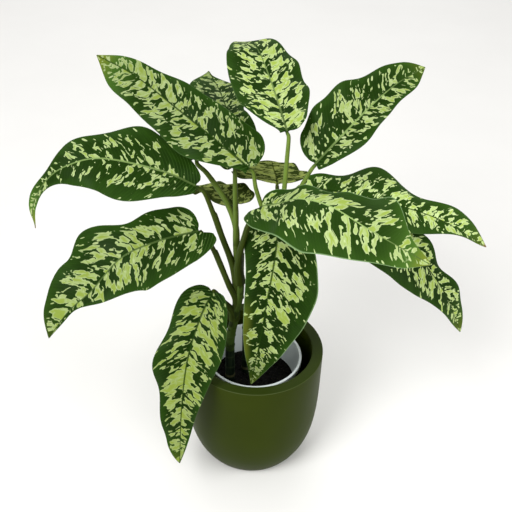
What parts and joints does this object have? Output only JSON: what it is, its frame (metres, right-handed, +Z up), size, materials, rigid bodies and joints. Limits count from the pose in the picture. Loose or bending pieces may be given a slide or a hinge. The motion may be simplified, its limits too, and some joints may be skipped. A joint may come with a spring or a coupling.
{
  "type": "potted dieffenbachia",
  "caption": "Variegated dieffenbachia with broad speckled leaves on two canes, in a white nursery pot inside a round green cachepot.",
  "frame": {"origin": "centre of the cachepot's flat foot, on the surface that it stands on", "axes": "+Z up along the pots' common axis, the viewer of the picture on the -Y side, +X to the viewer's right"},
  "size_m": [0.6435, 0.4146, 0.6494],
  "materials": {
    "green_glaze": "satin",
    "white_plastic": "satin",
    "peat": "matte",
    "green_cane": "satin",
    "dark_cane": "satin",
    "leaf": "satin",
    "leaf_shaded": "satin"
  },
  "bodies": {
    "root": {"cachepot": "green_glaze", "nursery_pot": "white_plastic", "soil": "peat", "stem_1": "green_cane", "stem_2": "dark_cane", "leaf_01_top_left": "leaf", "leaf_02_left": "leaf", "leaf_03_lower_left": "leaf", "leaf_04_in_front_of_pot": "leaf", "leaf_05_over_soil": "leaf", "leaf_06_right_large": "leaf", "leaf_07_right_upper": "leaf", "leaf_08_right_drooping": "leaf", "leaf_09_top_right": "leaf", "leaf_10_top_centre": "leaf", "leaf_11_back_top": "leaf", "leaf_12_back_centre": "leaf_shaded", "leaf_13_back_left": "leaf_shaded", "leaf_14_back_hidden": "leaf"}
  },
  "joints": []
}
